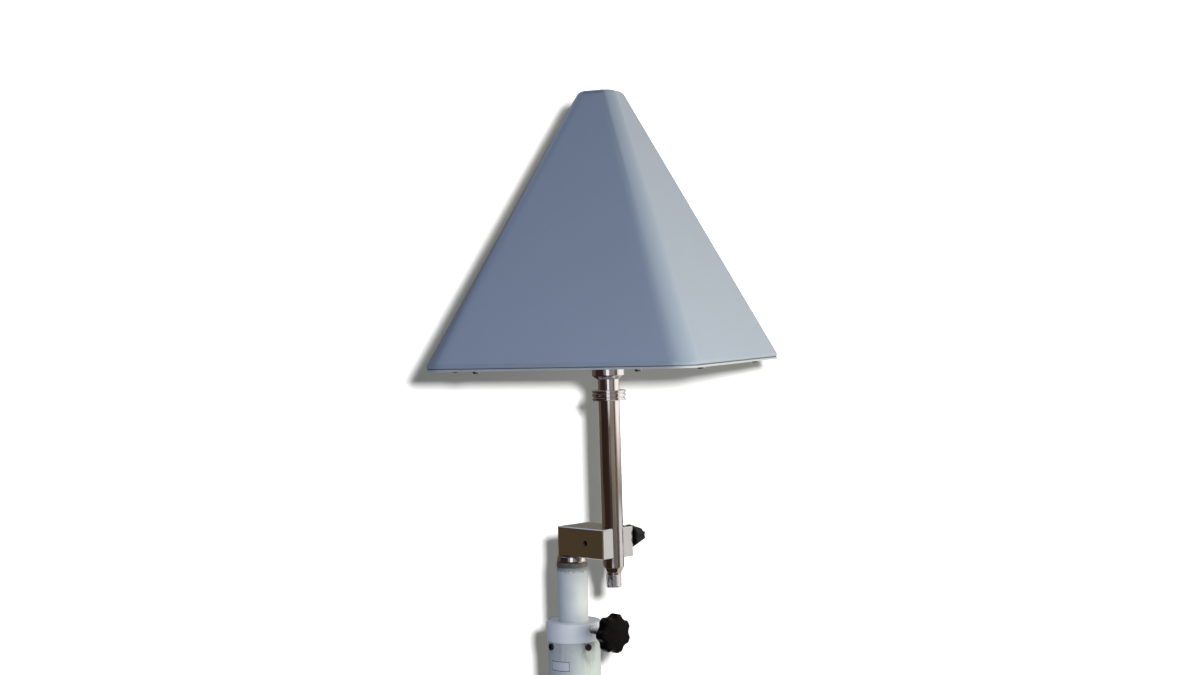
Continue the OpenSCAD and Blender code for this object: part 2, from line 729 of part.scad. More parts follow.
radome();
radome_gasket();
base_plate();
plate_screws();
rim_inserts();
lower_cone();
upper_cone();
feed_spacer();
cone_posts();
cone_screws();
feed_line();
feed_core();
feed_wire();
line_spacers();
tube_flange();
flange_screws();
antenna_tube();
stop_ring();
stop_ring_screw();
end_plug();
jack_body();
jack_insulator();
jack_contact();
clamp_block();
side_screw();
clamp_shoe();
clamp_stud();
clamp_knob();
mast_spigot();
spigot_bolt();
upper_tube();
tube_bush();
glide_ring();
mast_collar();
collar_screws();
star_shoe();
star_stud();
star_knob();
lower_tube();
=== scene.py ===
import bpy
import json
import math
import numpy as np
from mathutils import Matrix, Vector


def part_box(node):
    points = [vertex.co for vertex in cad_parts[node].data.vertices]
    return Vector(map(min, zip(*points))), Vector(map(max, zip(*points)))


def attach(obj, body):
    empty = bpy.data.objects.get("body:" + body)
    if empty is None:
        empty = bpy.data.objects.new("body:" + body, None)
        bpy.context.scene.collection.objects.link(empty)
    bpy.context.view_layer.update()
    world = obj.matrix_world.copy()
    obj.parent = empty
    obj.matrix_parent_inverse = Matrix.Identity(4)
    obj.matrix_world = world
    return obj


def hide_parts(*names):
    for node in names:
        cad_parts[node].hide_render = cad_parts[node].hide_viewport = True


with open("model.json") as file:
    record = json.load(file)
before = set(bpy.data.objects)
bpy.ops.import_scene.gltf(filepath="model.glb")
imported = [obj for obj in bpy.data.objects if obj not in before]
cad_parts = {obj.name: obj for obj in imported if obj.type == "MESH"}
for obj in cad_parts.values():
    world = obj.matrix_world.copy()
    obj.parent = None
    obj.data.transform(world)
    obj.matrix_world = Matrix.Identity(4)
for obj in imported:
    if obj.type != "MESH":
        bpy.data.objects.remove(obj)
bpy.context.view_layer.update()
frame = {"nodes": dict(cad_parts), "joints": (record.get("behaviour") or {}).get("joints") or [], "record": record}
nodes = frame["nodes"]
joints = {j["name"]: j for j in frame["joints"]}
mm = 0.001
print("frame loaded:", len(nodes), "nodes")

# where things are, read from the frame

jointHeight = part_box("radome")[0].z
tubeAxis = Vector(joints["antenna_turn"]["pos_m"][:2])
clampOut = Vector(joints["clamp_shoe_slide"]["axis"])
starOut = Vector(joints["star_shoe_slide"]["axis"])


# camera at the photo's viewing angle

cameraSet = {
    "azimuth": 22.5,        # degrees round the antenna tube, 0 looks along +Y
    "distance": 1862 * mm,  # to the tube's axis
    "above": 48.5 * mm,     # above the joint of the radome
    "focal": 1797,          # pixels of a 1200 pixel frame
    "pan": -0.23,           # degrees, the tube stands a little right of the middle
    "pitch": 0.69,          # degrees down
    "roll": -1.6,           # degrees, the photo leans to the left
}


def makeCamera(s):
    data = bpy.data.cameras.new("camera")
    cam = bpy.data.objects.new("camera", data)
    bpy.context.scene.collection.objects.link(cam)
    data.sensor_width = 36
    data.lens = s["focal"] * 36 / 1200
    data.clip_start = 0.05
    data.clip_end = 60
    a = math.radians(s["azimuth"])
    back = Vector((math.sin(a), -math.cos(a), 0))
    spot = Vector((tubeAxis.x, tubeAxis.y, jointHeight + s["above"])) + back * s["distance"]
    a = math.radians(s["azimuth"] - s["pan"])
    level = Vector((-math.sin(a), math.cos(a), 0))
    p = math.radians(s["pitch"])
    forward = level * math.cos(p) - Vector((0, 0, 1)) * math.sin(p)
    right = level.cross(Vector((0, 0, 1))).normalized()
    up = right.cross(forward)
    r = math.radians(s["roll"])
    right, up = right * math.cos(r) + up * math.sin(r), up * math.cos(r) - right * math.sin(r)
    cam.matrix_world = Matrix((
        (right.x, up.x, -forward.x, spot.x),
        (right.y, up.y, -forward.y, spot.y),
        (right.z, up.z, -forward.z, spot.z),
        (0, 0, 0, 1)))
    bpy.context.scene.camera = cam
    return cam


camera = makeCamera(cameraSet)
cameraSpot = camera.matrix_world.translation.copy()
print("camera ready")


# node helpers for materials

def newMaterial(name):
    mat = bpy.data.materials.new(name)
    mat.use_nodes = True
    tree = mat.node_tree
    shader = tree.nodes["Principled BSDF"]
    return mat, tree, shader


def addNode(tree, kind, **values):
    node = tree.nodes.new(kind)
    for key, value in values.items():
        if hasattr(node, key):
            setattr(node, key, value)
        else:
            node.inputs[key].default_value = value
    return node


def objectCoords(tree, scale=(1, 1, 1), offset=(0, 0, 0), turn=(0, 0, 0)):
    coords = addNode(tree, "ShaderNodeTexCoord")
    mapping = addNode(tree, "ShaderNodeMapping")
    mapping.inputs["Location"].default_value = offset
    mapping.inputs["Rotation"].default_value = turn
    mapping.inputs["Scale"].default_value = scale
    tree.links.new(coords.outputs["Object"], mapping.inputs["Vector"])
    return mapping.outputs["Vector"]


def noise(tree, vector, scale, detail=3, rough=0.55):
    node = addNode(tree, "ShaderNodeTexNoise")
    node.inputs["Scale"].default_value = scale
    node.inputs["Detail"].default_value = detail
    node.inputs["Roughness"].default_value = rough
    tree.links.new(vector, node.inputs["Vector"])
    return node.outputs["Fac"]


def ramp(tree, fac, stops):
    node = addNode(tree, "ShaderNodeValToRGB")
    band = node.color_ramp
    while len(band.elements) < len(stops):
        band.elements.new(0.5)
    for element, (place, colour) in zip(band.elements, stops):
        element.position = place
        element.color = (*colour, 1)
    tree.links.new(fac, node.inputs["Fac"])
    return node.outputs["Color"]


def bump(tree, shader, height, strength, distance):
    node = addNode(tree, "ShaderNodeBump")
    node.inputs["Strength"].default_value = strength
    node.inputs["Distance"].default_value = distance
    tree.links.new(height, node.inputs["Height"])
    tree.links.new(node.outputs["Normal"], shader.inputs["Normal"])


def linear(r, g, b):
    # 8 bit screen colour to the linear colour of a shader
    return tuple(((c / 255) / 12.92 if c <= 10 else ((c / 255 + 0.055) / 1.055) ** 2.4) for c in (r, g, b))


def paint(name, colour, rough, spread=0.03, scale=60, coat=0.0, metallic=0.0, specular=0.5, grain=None,
          upward=None):
    # plain finish with a faint cloudy change of colour and roughness, and for upward = (low, high, factor at
    # the low end, factor at the high end) a slow change of colour with height, which is painted shade
    mat, tree, shader = newMaterial(name)
    vector = objectCoords(tree)
    cloud = noise(tree, vector, scale)
    dark = tuple(c * (1 - spread) for c in colour)
    light = tuple(min(1, c * (1 + spread)) for c in colour)
    clouded = ramp(tree, cloud, [(0.3, dark), (0.7, light)])
    # painted shade: the colour is scaled from one factor at the low height to another at the high one
    if upward:
        split = addNode(tree, "ShaderNodeSeparateXYZ")
        tree.links.new(vector, split.inputs[0])
        share = addNode(tree, "ShaderNodeMapRange")
        for key, value in zip(("From Min", "From Max", "To Min", "To Max"), upward):
            share.inputs[key].default_value = value
        tree.links.new(split.outputs["Z"], share.inputs["Value"])
        fade = addNode(tree, "ShaderNodeVectorMath", operation="SCALE")
        tree.links.new(clouded, fade.inputs[0])
        tree.links.new(share.outputs["Result"], fade.inputs["Scale"])
        clouded = fade.outputs["Vector"]
    tree.links.new(clouded, shader.inputs["Base Color"])
    shader.inputs["Metallic"].default_value = metallic
    shader.inputs["Coat Weight"].default_value = coat
    shader.inputs["Specular IOR Level"].default_value = specular
    shader.inputs["Coat Roughness"].default_value = 0.05
    fine = noise(tree, vector, scale * 9)
    tree.links.new(ramp(tree, fine, [(0.2, (rough * 0.85,) * 3), (0.8, (rough * 1.15,) * 3)]),
                   shader.inputs["Roughness"])
    if grain:
        bump(tree, shader, noise(tree, vector, grain[0]), grain[1], grain[2])
    return mat


def wornTube(name, colour, dirt, top, band, streakFrom, sides, rough=0.42):
    # white plastic with a chipped, stained band below its top edge (top and band in metres), upright
    # streaks from streakFrom down, for each of sides = (direction, half width as a cosine, streaks, haze)
    mat, tree, shader = newMaterial(name)
    vector = objectCoords(tree)
    split = addNode(tree, "ShaderNodeSeparateXYZ")
    tree.links.new(vector, split.inputs[0])

    def spread(source, fromMin, fromMax):
        node = addNode(tree, "ShaderNodeMapRange")
        node.inputs["From Min"].default_value = fromMin
        node.inputs["From Max"].default_value = fromMax
        tree.links.new(source, node.inputs["Value"])
        return node.outputs["Result"]

    def join(kind, a, b):
        node = addNode(tree, "ShaderNodeMath", operation=kind)
        for socket, value in zip(node.inputs, (a, b)):
            if isinstance(value, (int, float)):
                socket.default_value = value
            else:
                tree.links.new(value, socket)
        return node.outputs[0]

    height = split.outputs["Z"]
    chips = noise(tree, vector, 520, 5, 0.65)
    nearTop = spread(height, top - band, top)
    worn = join("MULTIPLY", spread(join("ADD", nearTop, chips), 1.12, 1.3), 0.6)
    upright = objectCoords(tree, scale=(1, 1, 0.06))
    lines = spread(noise(tree, upright, 330, 2, 0.5), 0.52, 0.7)
    patches = spread(noise(tree, objectCoords(tree, scale=(1, 1, 0.4)), 150, 4, 0.6), 0.4, 0.65)
    direction = addNode(tree, "ShaderNodeVectorMath", operation="NORMALIZE")
    tree.links.new(objectCoords(tree, scale=(1, 1, 0)), direction.inputs[0])
    low = spread(height, streakFrom - 0.036, streakFrom - 0.004)
    total = worn
    for side, width, streaks, haze in sides:
        dot = addNode(tree, "ShaderNodeVectorMath", operation="DOT_PRODUCT")
        tree.links.new(direction.outputs["Vector"], dot.inputs[0])
        dot.inputs[1].default_value = sideOfCamera(side)
        sided = join("MULTIPLY", spread(dot.outputs["Value"], width, (width + 1) / 2), low)
        amount = join("ADD", join("MULTIPLY", lines, streaks), join("MULTIPLY", patches, haze))
        total = join("MAXIMUM", total, join("MULTIPLY", sided, amount))
    cloud = noise(tree, vector, 60)
    plain = ramp(tree, cloud, [(0.3, tuple(c * 0.97 for c in colour)), (0.7, tuple(min(1, c * 1.03) for c in colour))])
    mix = addNode(tree, "ShaderNodeMix", data_type="RGBA")
    tree.links.new(total, mix.inputs["Factor"])
    tree.links.new(plain, mix.inputs[6])
    mix.inputs[7].default_value = (*dirt, 1)
    tree.links.new(mix.outputs[2], shader.inputs["Base Color"])
    shader.inputs["Roughness"].default_value = rough
    return mat


def sideOfCamera(side):
    # level unit vector, side degrees to the right of the camera
    a = math.radians(cameraSet["azimuth"] + side)
    return (math.sin(a), -math.cos(a), 0)


tubeTops = {name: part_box(name)[1].z for name in ("upper_tube", "lower_tube")}
materials = {
    # the radome's colour is painted lighter near its foot and darker towards the tip, as painted shade
    "radome_paint": paint("radomePaint", linear(146, 158, 176), 0.15, 0.012, 9, coat=0.25,
                          upward=(jointHeight, jointHeight + 280 * mm, 1.12, 0.9)),
    "plate_paint": paint("platePaint", linear(182, 186, 192), 0.3, 0.02, 20),
    "seal": paint("seal", linear(84, 88, 96), 0.6, 0.1, 200),
    "nickel": paint("nickel", linear(243, 238, 236), 0.07, 0.015, 80, metallic=1.0),
    "bright_steel": paint("brightSteel", linear(200, 201, 204), 0.22, 0.05, 300, metallic=1.0),
    "dark_steel": paint("darkSteel", linear(72, 68, 68), 0.3, 0.1, 300, metallic=0.9),
    "brass": paint("brass", linear(196, 164, 102), 0.25, 0.05, 200, metallic=1.0),
    "copper": paint("copper", linear(196, 128, 92), 0.3, 0.08, 200, metallic=1.0),
    "spun_aluminium": paint("spunAluminium", linear(205, 206, 208), 0.32, 0.04, 90, metallic=1.0),
    "milled_aluminium": paint("milledAluminium", linear(226, 225, 223), 0.18, 0.01, 60, metallic=1.0),
    "dull_metal": paint("dullMetal", linear(128, 130, 127), 0.5, 0.15, 150, metallic=0.6),
    "ptfe": paint("ptfe", linear(242, 242, 238), 0.45, 0.02, 100),
    "acetal": paint("acetal", linear(241, 243, 249), 0.32, 0.012, 60),
    "white_tube": wornTube("whiteTube", linear(214, 221, 226), linear(96, 100, 84), tubeTops["upper_tube"],
                           0.014, 10.0, []),
    "lower_tube_plastic": wornTube("lowerTubePlastic", linear(202, 209, 211), linear(96, 104, 92),
                                   tubeTops["lower_tube"] + 1.0, 0.005, tubeTops["lower_tube"],
                                   [(-28, 0.8, 0.55, 0.12), (34, 0.93, 0.3, 0.6)]),
    "black_plastic": paint("blackPlastic", linear(13, 11, 12), 0.22, 0.1, 200, specular=0.07),
}
slotOf = {s["node"]: s["material_slot"] for s in frame["record"]["subparts"]}
for name, obj in nodes.items():
    obj.data.materials.clear()
    obj.data.materials.append(materials[slotOf[name]])
print("materials ready:", len(materials))


# surfaces

def gridObject(name, points, rows, columns, wrap=True, loop=False, caps=(False, False), smooth=40):
    # surface through a grid of points, row by row: wrap joins the last column to the first, loop joins
    # the last row to the first, caps close the first and last row with one flat face
    index = np.arange(rows * columns).reshape(rows, columns)
    if wrap:
        index = np.column_stack([index, index[:, 0]])
    if loop:
        index = np.vstack([index, index[:1]])
    faces = np.stack([index[:-1, :-1], index[:-1, 1:], index[1:, 1:], index[1:, :-1]], -1)
    faces = faces.reshape(-1, 4).tolist()
    if caps[0]:
        faces.append(index[0, :columns][::-1].tolist())
    if caps[1]:
        faces.append(index[-1, :columns].tolist())
    mesh = bpy.data.meshes.new(name)
    mesh.from_pydata(np.asarray(points).reshape(-1, 3).tolist(), [], faces)
    mesh.polygons.foreach_set("use_smooth", np.ones(len(faces), bool))
    mesh.set_sharp_from_angle(angle=math.radians(smooth))
    mesh.update()
    obj = bpy.data.objects.new(name, mesh)
    bpy.context.scene.collection.objects.link(obj)
    return obj


def section(corners, closed=True, steps=6):
    # polyline of (radius, along) from corners (radius, along, fillet), each fillet an arc
    out = []
    count = len(corners)
    for i, (r, z, fillet) in enumerate(corners):
        here = np.array((r, z), float)
        if fillet <= 0 or (not closed and i in (0, count - 1)):
            out.append(here)
            continue
        before = np.array(corners[i - 1][:2], float) - here
        after = np.array(corners[(i + 1) % count][:2], float) - here
        before /= np.linalg.norm(before)
        after /= np.linalg.norm(after)
        half = math.acos(max(-1, min(1, float(before @ after)))) / 2
        middle = before + after
        centre = here + middle / np.linalg.norm(middle) * fillet / math.sin(half)
        start = here + before * fillet / math.tan(half) - centre
        end = here + after * fillet / math.tan(half) - centre
        angle = math.pi - 2 * half
        for t in np.linspace(0, 1, steps + 1):
            arm = start * math.sin((1 - t) * angle) + end * math.sin(t * angle)
            out.append(centre + arm / math.sin(angle))
    return np.array(out)


def supported(outline, closed, gap=0.3):
    # adds a point close to both ends of each long stretch, so that its shading stays flat
    after = np.roll(outline, -1, axis=0)
    run = after - outline
    length = np.linalg.norm(run, axis=1, keepdims=True)
    share = np.where(length > 4 * gap, gap, 0) / np.maximum(length, 1e-9)
    points = np.stack([outline, outline + run * share, after - run * share], 1).reshape(-1, 2)
    if not closed:
        points = points[:-2]
    apart = np.linalg.norm(points - np.roll(points, 1, axis=0), axis=1)
    return points[apart > 1e-6]


def basis(axis):
    # two unit vectors square to the axis, the first one level or, for an upright axis, along +X
    axis = np.array(axis, float) / np.linalg.norm(axis)
    level = np.array((1.0, 0, 0)) if abs(axis[2]) > 0.9 else np.array((-axis[1], axis[0], 0))
    level -= axis * (level @ axis)
    level /= np.linalg.norm(level)
    return level, np.cross(axis, level), axis


def around(spot, axis, radius, along, turn):
    # point = spot + along x axis + radius x (cos turn x first + sin turn x second)
    first, second, axis = basis(axis)
    radius, along, turn = np.broadcast_arrays(radius, along, turn)
    flat = radius[..., None] * (np.cos(turn)[..., None] * first + np.sin(turn)[..., None] * second)
    return np.array(spot, float) + along[..., None] * axis + flat


def turned(name, outline, spot, axis=(0, 0, 1), columns=144, closed=True, smooth=40):
    # piece turned round an axis: a closed outline makes a ring, an open one a solid with flat ends
    outline = supported(outline, closed)
    turn = np.linspace(0, 2 * math.pi, columns, endpoint=False)[None, :]
    points = around(spot, axis, outline[:, :1] * mm, outline[:, 1:] * mm, turn)
    return gridObject(name, points, len(outline), columns, loop=closed,
                      caps=(not closed, not closed), smooth=smooth)


def smoothMin(a, b, blend):
    # lesser of two values, with a soft change from one to the other
    near = np.maximum(blend - np.abs(a - b), 0) / blend
    return np.minimum(a, b) - near * near * blend / 4


def hollowed(turn, radius, count, hollow, depth, blend):
    # circle of a radius with round hollows cut into it, as the distance from the axis at each turn
    step = 2 * math.pi / count
    off = np.mod(turn + step / 2, step) - step / 2
    middle = radius + hollow - depth
    inside = hollow * hollow - (middle * np.sin(off)) ** 2
    edge = np.where(inside > 0, middle * np.cos(off) - np.sqrt(np.maximum(inside, 0)), radius + 9)
    return smoothMin(edge, radius + 0 * edge, blend)


def finish(obj, body, slot, *replaced):
    obj.data.materials.clear()
    obj.data.materials.append(materials[slot])
    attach(obj, body)
    if replaced:
        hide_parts(*replaced)
    return obj


headSpot = (tubeAxis.x, tubeAxis.y, jointHeight)
mastSpot = (0, 0, 0)


# radome: moulded pyramid

radomeSet = {
    "side": 289, "tipSide": 41, "height": 280.5, "lip": 3, "wall": 3, "rim": 24, "rimHeight": 8.5,
    "footRadius": 24, "tipRadius": 15, "tipRound": 9, "edgeRound": 1.1,
    "lipBlend": 3.6,    # height over which the lip turns into the slope
    "support": 2.5,     # from the round corners to the next column on the flat faces
}


def makeRadome(s):
    # at each height a square with round corners: the half side and the corner radius run straight
    # from the lip to the tip, and both shrink by the same amount over the round tip
    slope = (s["side"] - s["tipSide"]) / 2 / (s["height"] - s["lip"])
    steps = 20
    # bend between lip and slope, as a parabola over lipBlend each way
    bend = np.linspace(-1, 1, 13)
    bendZ = s["lip"] + bend * s["lipBlend"] / 2
    bendIn = slope * s["lipBlend"] * (bend + 1) ** 2 / 8
    rise = np.concatenate([[0.006], np.linspace(0, 1, 30)[1:-1], [0.994, 1]])
    topZ = s["height"] - s["tipRound"] * (1 - math.sin(math.atan(slope)))
    slopeZ = bendZ[-1] + (topZ - bendZ[-1]) * rise
    fall = np.linspace(math.atan(slope), math.pi / 2, 14)[1:]
    arcIn = s["tipRound"] * (1 - np.cos(fall)) - s["tipRound"] * (1 - math.cos(math.atan(slope)))
    half = np.concatenate([
        s["side"] / 2 - s["edgeRound"] * (1 - np.cos(np.linspace(math.pi / 2, 0, 5))),
        s["side"] / 2 - bendIn,
        s["side"] / 2 - bendIn[-1] - slope * (slopeZ - bendZ[-1])])
    z = np.concatenate([s["edgeRound"] * (1 - np.sin(np.linspace(math.pi / 2, 0, 5))), bendZ, slopeZ])
    share = np.clip((z - s["lip"]) / (topZ - s["lip"]), 0, 1)
    corner = s["footRadius"] + (s["tipRadius"] - s["footRadius"]) * share
    corner[:5] -= s["side"] / 2 - half[:5]
    half = np.concatenate([half, half[-1] - arcIn])
    corner = np.concatenate([corner, corner[-1] - arcIn])
    z = np.concatenate([z, s["height"] - s["tipRound"] * (1 - np.sin(fall))])
    # inside: flange, then the wall up to the inner tip
    wallX = s["wall"] * math.sqrt(1 + slope * slope)
    innerZ = np.linspace(s["height"] - s["wall"] - 3, s["rimHeight"] + 2, 12)
    innerHalf = s["side"] / 2 - slope * (innerZ - s["lip"]) - wallX
    innerCorner = np.interp(innerZ, [s["lip"], s["height"]], [s["footRadius"], s["tipRadius"]]) - s["wall"]
    innerZ = np.concatenate([innerZ[:1] + 3, innerZ, [s["rimHeight"], s["rimHeight"], 0]])
    edge = s["side"] / 2 - s["rim"]
    innerHalf = np.concatenate([innerHalf[:1] - 4, innerHalf, innerHalf[-1:], [edge, edge]])
    innerCorner = np.concatenate([innerCorner[:1] - 4, innerCorner, innerCorner[-1:], [12, 12]])
    z = np.concatenate([innerZ, z])
    half = np.concatenate([innerHalf, half])
    corner = np.concatenate([innerCorner, corner])
    quarter = np.arange(4)[:, None]
    arc = np.concatenate([[0], np.linspace(0, math.pi / 2, steps), [math.pi / 2]])
    angle = (quarter * math.pi / 2 + arc[None, :]).reshape(-1)
    ahead = np.tile(np.concatenate([[-1], np.zeros(steps), [1]]), 4)[None, :]
    signX = np.sign(np.cos(quarter * math.pi / 2 + math.pi / 4)) * np.ones((1, steps + 2))
    signY = np.sign(np.sin(quarter * math.pi / 2 + math.pi / 4)) * np.ones((1, steps + 2))
    flat = (half - corner)[:, None]
    slip = np.minimum(s["support"], flat / 4) * ahead
    x = flat * signX.reshape(1, -1) + corner[:, None] * np.cos(angle)[None, :] - slip * np.sin(angle)[None, :]
    y = flat * signY.reshape(1, -1) + corner[:, None] * np.sin(angle)[None, :] + slip * np.cos(angle)[None, :]
    height = np.broadcast_to(z[:, None], x.shape)
    points = np.stack([x, y, height], -1) * mm + np.array(headSpot)
    return gridObject("radomeShell", points, len(z), 4 * (steps + 2), caps=(True, True), smooth=32)


finish(makeRadome(radomeSet), "antenna", "radome_paint", "radome")
print("radome made")


# antenna tube, flange and jack

tubeSet = {
    "radius": 11, "bore": 9, "drop": 217.5, "nose": 5, "noseRadius": 8.25, "plateBottom": -2.7,
    "flangeRadius": 17, "flange": 7.5, "flangeCone": 3.2, "seat": 6, "flangeMore": 3.8,
}
t = tubeSet
flangeLow = t["plateBottom"] - t["flange"]
tubeTop = flangeLow - t["flangeCone"] + t["seat"]
flangeFoot = flangeLow - t["flangeMore"] - t["flangeCone"]
finish(turned("antennaTubePolished", section([
    (t["bore"], t["nose"] - t["drop"], 0), (t["radius"], t["nose"] - t["drop"], 0.4),
    (t["radius"], tubeTop, 0.2), (t["bore"], tubeTop, 0)]), headSpot, columns=192),
    "antenna", "nickel", "antenna_tube")
finish(turned("flangeTurned", section([
    (3.2, t["plateBottom"], 0), (3.2, tubeTop, 0), (t["radius"], tubeTop, 0),
    (t["radius"], flangeFoot, 0.1), (t["radius"] + 0.9, flangeFoot, 0.4),
    (t["flangeRadius"] - 0.6, flangeLow - t["flangeMore"], 0.4), (t["flangeRadius"], flangeLow - t["flangeMore"] + 0.8, 0.5),
    (t["flangeRadius"], t["plateBottom"], 0.3)]), headSpot, columns=160),
    "antenna", "nickel", "tube_flange")
finish(turned("plugNose", section([
    (6, -t["drop"], 0), (t["noseRadius"], -t["drop"], 0.5), (t["radius"] - 0.35, t["nose"] - t["drop"], 0.25),
    (t["bore"], t["nose"] - t["drop"], 0), (t["bore"], 14 - t["drop"], 0.3), (6, 14 - t["drop"], 0)]),
    headSpot, columns=144), "antenna", "nickel", "end_plug")

jackSet = {"radius": 7.94, "shank": 6, "bore": 4.05, "length": 15.6, "depth": 9.6, "insulator": 3.5,
           "pitch": 1.058, "thread": 0.4, "chamfer": 0.9}


def makeJack(s):
    # thread: radius falls by a sharp wave of (height / pitch - turn / full turn), faded at both ends
    columns = 120
    turn = np.linspace(0, 2 * math.pi, columns, endpoint=False)[None, :]
    low = -t["drop"] - s["length"]
    along = np.linspace(low + s["chamfer"], -t["drop"] - 0.6, 150)[:, None]
    wave = np.abs(2 * np.mod(along / s["pitch"] - turn / (2 * math.pi), 1) - 1)
    fade = np.clip((along - along[0]) / 1.0, 0, 1) * np.clip((along[-1] - along) / 2.4, 0, 1)
    thread = s["radius"] - s["thread"] * wave * fade
    ends = section([
        (s["radius"], -t["drop"] - 0.3, 0), (s["radius"] - 0.3, -t["drop"], 0), (s["shank"], -t["drop"], 0),
        (s["shank"], 14 - t["drop"], 0), (s["insulator"], 14 - t["drop"], 0),
        (s["insulator"], low + s["depth"], 0), (s["bore"], low + s["depth"], 0), (s["bore"], low + 0.4, 0),
        (s["bore"] + 0.4, low, 0), (s["radius"] - s["chamfer"], low, 0)])
    radius = np.vstack([thread, ends[:, :1] + 0 * turn])
    height = np.vstack([along + 0 * turn, ends[:, 1:] + 0 * turn])
    points = around(headSpot, (0, 0, 1), radius * mm, height * mm, turn)
    return gridObject("jackThreaded", points, len(radius), columns, loop=True, smooth=50)


finish(makeJack(jackSet), "antenna", "nickel", "jack_body")
print("tube and jack made")


# threaded studs

def threaded(name, radius, pitch, depth, start, end, spot, axis):
    # radius falls by a rounded wave of (along / pitch - turn / full turn), faded at both ends
    columns = 60
    rows = int((end - start) / pitch * 10)
    turn = np.linspace(0, 2 * math.pi, columns, endpoint=False)[None, :]
    along = np.linspace(start, end, rows)[:, None]
    wave = 0.5 - 0.5 * np.cos(2 * math.pi * (along / pitch) - turn)
    fade = np.clip(np.minimum(along - start, end - along) / pitch, 0, 1)
    points = around(spot, axis, (radius - depth * wave * fade) * mm, along * mm, turn)
    return gridObject(name, points, rows, columns, caps=(True, True), smooth=50)


# clamp knob

clampSet = {"spot": 22.3, "wide": 12.4, "tip": 6.2, "length": 21, "flutes": 6, "flute": 4.6, "fluteDepth": 1.6,
            "stud": 3.95, "studFrom": 15.3}
clampSpot = np.array(joints["clamp_knob_turn"]["pos_m"]) - np.array(clampOut) * 22 * mm


def makeClampKnob(s):
    # straight taper from wide to tip, with round flutes that follow the taper
    columns = 240
    turn = np.linspace(0, 2 * math.pi, columns, endpoint=False)[None, :]
    base = section([(0.3, 0, 0), (s["wide"], 0, 1.0), (s["wide"], 2.6, 1.4),
                    (s["tip"], s["length"], 2.0), (0.3, s["length"], 0)], closed=False)
    extra = np.linspace(base[-9], base[-8], 30) if len(base) > 9 else base
    rows = np.vstack([base[:-8], extra[1:-1], base[-8:]])
    taper = np.interp(rows[:, 1], [0, 2.6, s["length"]], [s["wide"], s["wide"], s["tip"]])[:, None]
    outline = hollowed(turn, taper, s["flutes"], s["flute"], s["fluteDepth"], 0.9)
    radius = rows[:, :1] / taper * outline
    points = around(clampSpot + np.array(clampOut) * s["spot"] * mm, clampOut, radius * mm, rows[:, 1:] * mm, turn)
    return gridObject("clampKnobFluted", points, len(rows), columns, caps=(True, True), smooth=50)


finish(makeClampKnob(clampSet), "clamp_knob", "black_plastic", "clamp_knob")
finish(threaded("clampStudThreaded", clampSet["stud"], 1.25, 0.6, clampSet["studFrom"],
                clampSet["spot"] + clampSet["length"] / 2, clampSpot, clampOut),
       "clamp_knob", "bright_steel", "clamp_stud")


# star knob

starSet = {"face": 49, "hub": 10, "hubHeight": 6, "radius": 20.5, "thick": 14, "lobes": 7, "hollow": 10,
           "depth": 2.7, "stud": 3.95, "studFrom": 20.3}
starSpot = np.array((0, 0, joints["star_knob_turn"]["pos_m"][2]))


def makeStarKnob(s):
    # hub, back, rounded rim and slightly domed face: each row is a circle or the scalloped outline less an inset
    columns = 350
    turn = np.linspace(0, 2 * math.pi, columns, endpoint=False)[None, :]
    outline = hollowed(turn, s["radius"], s["lobes"], s["hollow"], s["depth"], 1.2)
    bend = np.linspace(0, math.pi / 2, 7)
    low = s["hubHeight"]
    high = s["hubHeight"] + s["thick"]
    rows = [(0.3, 0, 0, 0), (s["hub"] - 1, 0, 0, 0), (s["hub"], 0, 0, 1), (s["hub"], 0, 0, low - 0.6),
            (s["hub"] + 0.6, 0, 0, low)]
    rows += [(s["hub"], 1, 2.5 * (1 - math.sin(a)), low + 2.5 * (1 - math.cos(a))) for a in bend]
    rows += [(s["hub"], 1, 4 * (1 - math.cos(a)), high - 1.4 - 3.6 * (1 - math.sin(a))) for a in bend]
    rows = np.array(rows)
    radius = rows[:, :1] * (1 - rows[:, 1:2]) + (outline - rows[:, 2:3]) * rows[:, 1:2]
    along = rows[:, 3:]
    shrink = np.concatenate([np.linspace(1, 0.8, 9), np.linspace(0.8, 0.015, 9)[1:]])[1:, None]
    plain = s["radius"] - s["depth"] - 4
    soft = np.clip((1 - shrink) / 0.35, 0, 1)
    soft = soft * soft * (3 - 2 * soft)
    radius = np.vstack([radius, (outline - 4) * shrink * (1 - soft) + plain * shrink * soft])
    along = np.vstack([along, high - 1.4 * shrink ** 2])
    points = around(starSpot + np.array(starOut) * s["face"] * mm, starOut, radius * mm, along * mm, turn)
    return gridObject("starKnobScalloped", points, len(radius), columns, caps=(True, True), smooth=50)


finish(makeStarKnob(starSet), "star_knob", "black_plastic", "star_knob")
finish(threaded("starStudThreaded", starSet["stud"], 1.25, 0.6, starSet["studFrom"],
                starSet["face"] + starSet["hubHeight"] + starSet["thick"] / 2, starSpot, starOut),
       "star_knob", "bright_steel", "star_stud")
print("knobs made")


# mast top

mastSet = {
    "lowerRadius": 27.5, "lowerBore": 24.5, "lowerLength": 140, "socket": 25, "socketDepth": 35,
    "collarRadius": 29, "collar": 20, "sleeve": 22, "upperRadius": 16, "upperBore": 13,
    "upperIn": 98, "upperOut": 57, "bushRim": 16.3, "bush": 5, "disc": 16, "discHeight": 8, "pin": 10, "pinLength": 30,
}
m = mastSet
collarTop = m["lowerLength"] + m["collar"]
upperTop = collarTop + m["upperOut"]
bushTop = upperTop + m["bush"]
blockLow = bushTop + m["discHeight"]
finish(turned("lowerTubeStreaked", section([
    (m["socket"], 0, 0.3), (m["lowerRadius"], 0, 0.5), (m["lowerRadius"], m["lowerLength"], 0.3),
    (m["lowerBore"], m["lowerLength"], 0.2), (m["lowerBore"], m["socketDepth"], 0),
    (m["socket"], m["socketDepth"], 0)]), mastSpot), "mast", "lower_tube_plastic", "lower_tube")
